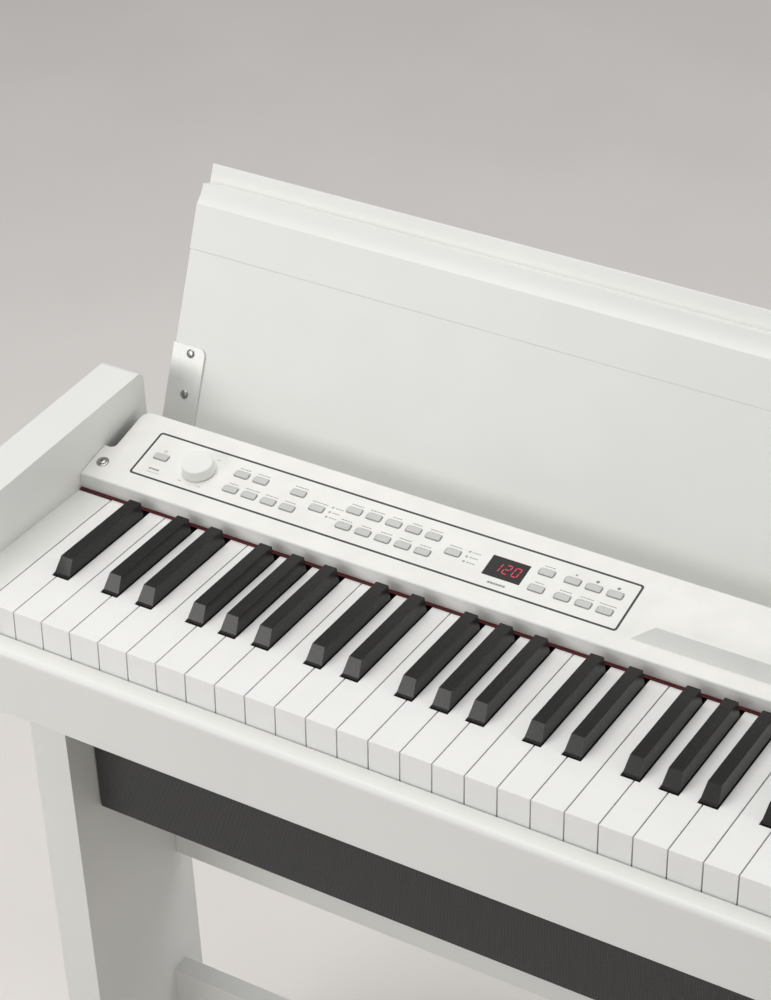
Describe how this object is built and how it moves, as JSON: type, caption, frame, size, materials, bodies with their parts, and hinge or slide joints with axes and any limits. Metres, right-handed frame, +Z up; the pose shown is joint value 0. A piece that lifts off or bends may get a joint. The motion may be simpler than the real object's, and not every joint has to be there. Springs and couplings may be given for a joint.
{
  "type": "digital piano",
  "caption": "Slim white cabinet digital piano on side panels with feet, with a folding key lid, sloping control panel, weighted keys, speaker box and pedals.",
  "frame": {"origin": "on the floor, under the middle of the piano's bounding box with the lid open", "axes": "+X to the player's right along the keyboard, +Y to the back, +Z up"},
  "size_m": [1.346, 0.4576, 0.8915],
  "materials": {
    "white_lacquer": "satin white lacquer on fibreboard",
    "black_plastic": "moulded",
    "raw_board": "raw fibreboard",
    "panel_plastic": "satin moulded plastic",
    "grey_print": "satin dark grey inlay",
    "display_glass": "gloss smoked window",
    "led_plastic": "clear lens, unlit",
    "red_felt": "wool felt",
    "steel": "bright zinc plated",
    "black_board": "black foil on chipboard",
    "grille_cloth": "woven speaker cloth",
    "driver_plastic": "moulded",
    "grey_felt": "wool felt",
    "circuit_board": "solder mask",
    "bracket_paint": "satin pearl paint",
    "knob_plastic": "satin moulded plastic",
    "pedal_metal": "polished",
    "button_plastic": "satin moulded plastic",
    "white_key": "semi-gloss moulded key",
    "black_key": "matt moulded key"
  },
  "bodies": {
    "cabinet": {"left_side_panel": "white_lacquer", "right_side_panel": "white_lacquer", "left_foot": "white_lacquer", "right_foot": "white_lacquer", "foot_glides": "black_plastic", "keybed": "raw_board", "key_slip": "white_lacquer", "cheek_blocks": "white_lacquer", "control_panel": "panel_plastic", "panel_outline": "grey_print", "display_window": "display_glass", "led_lenses": "led_plastic", "key_felt": "red_felt", "panel_screws": "steel", "panel_washers": "steel", "back_panel": "white_lacquer", "speaker_box": "black_board", "speaker_grille": "grille_cloth", "speaker_drivers": "driver_plastic", "key_frame": "black_plastic", "key_pivot_rod": "steel", "stop_felts": "grey_felt", "sensor_strip": "circuit_board", "panel_board": "circuit_board", "volume_pot": "driver_plastic", "main_board": "circuit_board", "jack_box": "black_plastic", "cross_rail": "white_lacquer", "pedal_box": "white_lacquer", "pedal_shaft": "steel", "pedal_adjuster": "black_plastic", "assembly_bolts": "steel"},
    "lid": {"lid_panel": "white_lacquer", "lid_front_rail": "white_lacquer", "lid_brackets": "bracket_paint", "lid_bracket_screws": "steel", "lid_hinge_pins": "steel"},
    "knob": {"volume_knob": "knob_plastic", "volume_shaft": "steel"},
    "left_pedal": {"left_pedal": "pedal_metal"},
    "middle_pedal": {"middle_pedal": "pedal_metal"},
    "right_pedal": {"right_pedal": "pedal_metal"},
    "power_button": {"power_button": "button_plastic"},
    "function_buttons": {"function_buttons": "button_plastic"},
    "mode_buttons": {"mode_buttons": "button_plastic"},
    "sound_buttons": {"sound_buttons": "button_plastic"},
    "value_buttons": {"value_buttons": "button_plastic"},
    "transport_buttons": {"transport_buttons": "button_plastic"},
    "keys_c": {"keys_c": "white_key"},
    "keys_c_sharp": {"keys_c_sharp": "black_key"},
    "keys_d": {"keys_d": "white_key"},
    "keys_d_sharp": {"keys_d_sharp": "black_key"},
    "keys_e": {"keys_e": "white_key"},
    "keys_f": {"keys_f": "white_key"},
    "keys_f_sharp": {"keys_f_sharp": "black_key"},
    "keys_g": {"keys_g": "white_key"},
    "keys_g_sharp": {"keys_g_sharp": "black_key"},
    "keys_a": {"keys_a": "white_key"},
    "keys_a_sharp": {"keys_a_sharp": "black_key"},
    "keys_b": {"keys_b": "white_key"}
  },
  "joints": [
    {"name": "lid_fold", "type": "hinge", "parent": "cabinet", "child": "lid", "pos_m": [0, 0.0862, 0.71], "axis": [1, 0, 0], "range_deg": [0, 113.4]},
    {"name": "volume_turn", "type": "hinge", "parent": "cabinet", "child": "knob", "pos_m": [-0.5583, 0.06784, 0.73777], "axis": [0, -0.1913, 0.9815], "range_deg": [-150, 150]},
    {"name": "left_pedal_press", "type": "hinge", "parent": "cabinet", "child": "left_pedal", "pos_m": [0, 0.0322, 0.047], "axis": [1, 0, 0], "range_deg": [0, 6], "stiffness_Nm_per_rad": 12, "springref_deg": -4.58},
    {"name": "middle_pedal_press", "type": "hinge", "parent": "cabinet", "child": "middle_pedal", "pos_m": [0, 0.0322, 0.047], "axis": [1, 0, 0], "range_deg": [0, 6], "stiffness_Nm_per_rad": 12, "springref_deg": -4.58},
    {"name": "right_pedal_press", "type": "hinge", "parent": "cabinet", "child": "right_pedal", "pos_m": [0, 0.0322, 0.047], "axis": [1, 0, 0], "range_deg": [0, 6], "stiffness_Nm_per_rad": 12, "springref_deg": -4.58},
    {"name": "power_button_press", "type": "slide", "parent": "cabinet", "child": "power_button", "axis": [0, 0.1913, -0.9815], "range_m": [0, 0.0005], "stiffness_N_per_m": 700, "springref_m": -0.0008},
    {"name": "function_buttons_press", "type": "slide", "parent": "cabinet", "child": "function_buttons", "axis": [0, 0.1913, -0.9815], "range_m": [0, 0.0005], "stiffness_N_per_m": 700, "springref_m": -0.0008},
    {"name": "mode_buttons_press", "type": "slide", "parent": "cabinet", "child": "mode_buttons", "axis": [0, 0.1913, -0.9815], "range_m": [0, 0.0005], "stiffness_N_per_m": 700, "springref_m": -0.0008},
    {"name": "sound_buttons_press", "type": "slide", "parent": "cabinet", "child": "sound_buttons", "axis": [0, 0.1913, -0.9815], "range_m": [0, 0.0005], "stiffness_N_per_m": 700, "springref_m": -0.0008},
    {"name": "value_buttons_press", "type": "slide", "parent": "cabinet", "child": "value_buttons", "axis": [0, 0.1913, -0.9815], "range_m": [0, 0.0005], "stiffness_N_per_m": 700, "springref_m": -0.0008},
    {"name": "transport_buttons_press", "type": "slide", "parent": "cabinet", "child": "transport_buttons", "axis": [0, 0.1913, -0.9815], "range_m": [0, 0.0005], "stiffness_N_per_m": 700, "springref_m": -0.0008},
    {"name": "keys_c_press", "type": "hinge", "parent": "cabinet", "child": "keys_c", "pos_m": [0, 0.08957, 0.70701], "axis": [1, 0, 0], "range_deg": [0, 2.76], "stiffness_Nm_per_rad": 20, "springref_deg": -3.44},
    {"name": "keys_c_sharp_press", "type": "hinge", "parent": "cabinet", "child": "keys_c_sharp", "pos_m": [0, 0.08957, 0.70701], "axis": [1, 0, 0], "range_deg": [0, 2.76], "stiffness_Nm_per_rad": 20, "springref_deg": -3.44},
    {"name": "keys_d_press", "type": "hinge", "parent": "cabinet", "child": "keys_d", "pos_m": [0, 0.08957, 0.70701], "axis": [1, 0, 0], "range_deg": [0, 2.76], "stiffness_Nm_per_rad": 20, "springref_deg": -3.44},
    {"name": "keys_d_sharp_press", "type": "hinge", "parent": "cabinet", "child": "keys_d_sharp", "pos_m": [0, 0.08957, 0.70701], "axis": [1, 0, 0], "range_deg": [0, 2.76], "stiffness_Nm_per_rad": 20, "springref_deg": -3.44},
    {"name": "keys_e_press", "type": "hinge", "parent": "cabinet", "child": "keys_e", "pos_m": [0, 0.08957, 0.70701], "axis": [1, 0, 0], "range_deg": [0, 2.76], "stiffness_Nm_per_rad": 20, "springref_deg": -3.44},
    {"name": "keys_f_press", "type": "hinge", "parent": "cabinet", "child": "keys_f", "pos_m": [0, 0.08957, 0.70701], "axis": [1, 0, 0], "range_deg": [0, 2.76], "stiffness_Nm_per_rad": 20, "springref_deg": -3.44},
    {"name": "keys_f_sharp_press", "type": "hinge", "parent": "cabinet", "child": "keys_f_sharp", "pos_m": [0, 0.08957, 0.70701], "axis": [1, 0, 0], "range_deg": [0, 2.76], "stiffness_Nm_per_rad": 20, "springref_deg": -3.44},
    {"name": "keys_g_press", "type": "hinge", "parent": "cabinet", "child": "keys_g", "pos_m": [0, 0.08957, 0.70701], "axis": [1, 0, 0], "range_deg": [0, 2.76], "stiffness_Nm_per_rad": 20, "springref_deg": -3.44},
    {"name": "keys_g_sharp_press", "type": "hinge", "parent": "cabinet", "child": "keys_g_sharp", "pos_m": [0, 0.08957, 0.70701], "axis": [1, 0, 0], "range_deg": [0, 2.76], "stiffness_Nm_per_rad": 20, "springref_deg": -3.44},
    {"name": "keys_a_press", "type": "hinge", "parent": "cabinet", "child": "keys_a", "pos_m": [0, 0.08957, 0.70701], "axis": [1, 0, 0], "range_deg": [0, 2.76], "stiffness_Nm_per_rad": 20, "springref_deg": -3.44},
    {"name": "keys_a_sharp_press", "type": "hinge", "parent": "cabinet", "child": "keys_a_sharp", "pos_m": [0, 0.08957, 0.70701], "axis": [1, 0, 0], "range_deg": [0, 2.76], "stiffness_Nm_per_rad": 20, "springref_deg": -3.44},
    {"name": "keys_b_press", "type": "hinge", "parent": "cabinet", "child": "keys_b", "pos_m": [0, 0.08957, 0.70701], "axis": [1, 0, 0], "range_deg": [0, 2.76], "stiffness_Nm_per_rad": 20, "springref_deg": -3.44}
  ]
}
